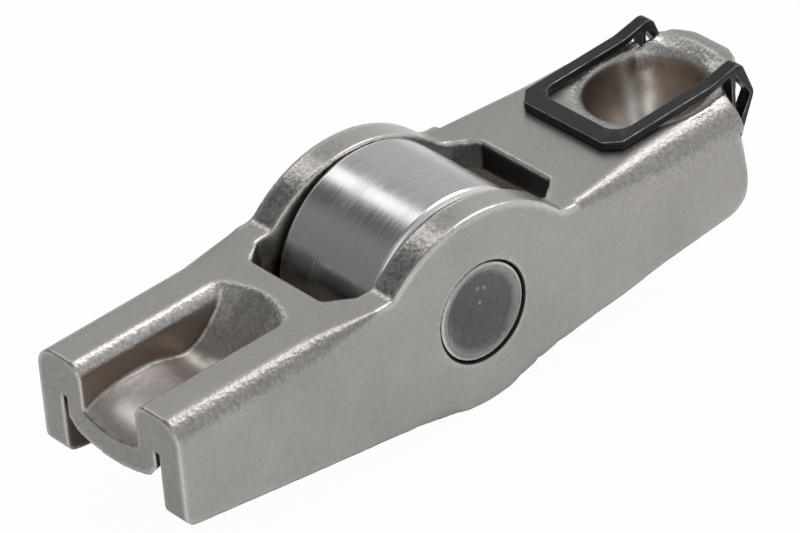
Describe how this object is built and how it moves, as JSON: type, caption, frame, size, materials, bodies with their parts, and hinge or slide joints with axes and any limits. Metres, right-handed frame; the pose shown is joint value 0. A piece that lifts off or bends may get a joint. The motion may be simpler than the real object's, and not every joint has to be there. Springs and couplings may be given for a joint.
{
  "type": "rocker arm",
  "caption": "Roller finger rocker arm: folded sheet-steel body with a valve pad, a ball socket, a central cam roller and a spring clip.",
  "frame": {"origin": "middle of the roller's axle", "axes": "+X along the arm from the valve pad to the ball socket, +Y along the axle, +Z from the cam side to the valve side"},
  "size_m": [0.0591, 0.016, 0.017],
  "materials": {
    "stamped_steel": "tumbled sheet steel, grained on the bends",
    "ground_steel": "ground",
    "hardened_steel": "dark hardened end faces",
    "black_spring_steel": "black oxide, satin"
  },
  "bodies": {
    "arm": {"rocker_arm_body": "stamped_steel", "axle_pin": "hardened_steel", "retaining_clip": "black_spring_steel"},
    "roller": {"roller": "ground_steel"},
    "needle_set": {"needle_01": "ground_steel", "needle_02": "ground_steel", "needle_03": "ground_steel", "needle_04": "ground_steel", "needle_05": "ground_steel", "needle_06": "ground_steel", "needle_07": "ground_steel", "needle_08": "ground_steel", "needle_09": "ground_steel", "needle_10": "ground_steel", "needle_11": "ground_steel", "needle_12": "ground_steel", "needle_13": "ground_steel", "needle_14": "ground_steel", "needle_15": "ground_steel", "needle_16": "ground_steel", "needle_17": "ground_steel", "needle_18": "ground_steel", "needle_19": "ground_steel"}
  },
  "joints": [
    {"name": "roller_spin", "type": "hinge", "parent": "arm", "child": "roller", "pos_m": [0, 0, 0], "axis": [0, 1, 0], "continuous": true},
    {"name": "needle_orbit", "type": "hinge", "parent": "arm", "child": "needle_set", "pos_m": [0, 0, 0], "axis": [0, 1, 0], "continuous": true}
  ],
  "couplings": [
    {"joint": "needle_orbit", "follows": "roller_spin", "ratio": 0.5807}
  ]
}
